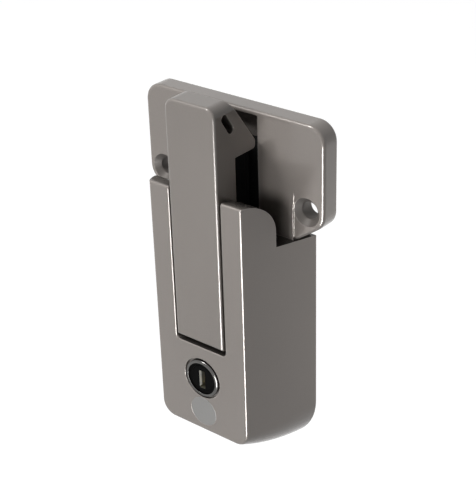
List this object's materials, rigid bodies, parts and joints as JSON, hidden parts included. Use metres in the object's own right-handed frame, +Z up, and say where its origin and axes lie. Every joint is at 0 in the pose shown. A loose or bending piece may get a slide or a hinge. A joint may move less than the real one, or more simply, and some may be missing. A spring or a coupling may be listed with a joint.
{
  "type": "sliding door security bar catch",
  "caption": "Keyed wall catch for a sliding door security bar: ear plate, tapered housing, sprung hook lever and cylinder lock.",
  "frame": {"origin": "on the mounting plane, midway between the two mounting screw holes", "axes": "+X to the viewer's right across the door, -Y out of the wall towards the room, +Z up"},
  "size_m": [0.0656, 0.024, 0.1184],
  "materials": {
    "satin_paint": "satin warm grey paint over a zinc casting",
    "lever_paint": "satin warm grey paint over a zinc casting",
    "disc_metal": "satin, blank",
    "bezel_chrome": "bright plated",
    "lock_black": "black, slightly glossy",
    "plug_black": "black, slightly glossy",
    "black_liner": "matt black",
    "bumper_rubber": "matt black",
    "bush_plastic": "natural acetal",
    "cover_steel": "zinc plated sheet",
    "screw_steel": "zinc plated",
    "pin_steel": "bright drawn",
    "clip_steel": "blued spring steel",
    "spring_steel": "drawn wire",
    "wafer_brass": "plain",
    "cam_steel": "zinc plated"
  },
  "bodies": {
    "case": {"case": "satin_paint", "back_cover": "cover_steel", "cover_screws": "screw_steel", "bar_liner": "black_liner", "pivot_pin": "pin_steel", "pin_clips": "clip_steel", "lever_bumper": "bumper_rubber", "lever_spring": "spring_steel", "bezel_ring": "bezel_chrome", "lock_barrel": "lock_black", "barrel_clip": "clip_steel", "badge_disc": "disc_metal"},
    "lever": {"lever": "lever_paint", "pivot_bushes": "bush_plastic"},
    "plug": {"lock_plug": "plug_black", "wafers": "wafer_brass", "wafer_springs": "spring_steel", "lock_cam": "cam_steel", "cam_washer": "cam_steel", "cam_screw": "screw_steel"}
  },
  "joints": [
    {"name": "lever_swing", "type": "hinge", "parent": "case", "child": "lever", "pos_m": [0, -0.0179, -0.022], "axis": [1, 0, 0], "range_deg": [0, 15], "stiffness_Nm_per_rad": 0.032, "springref_deg": -29.79, "deforming": ["lever_spring"]},
    {"name": "key_turn", "type": "hinge", "parent": "case", "child": "plug", "pos_m": [0, -0.0145, -0.0572], "axis": [0, 1, 0], "range_deg": [0, 90]}
  ]
}
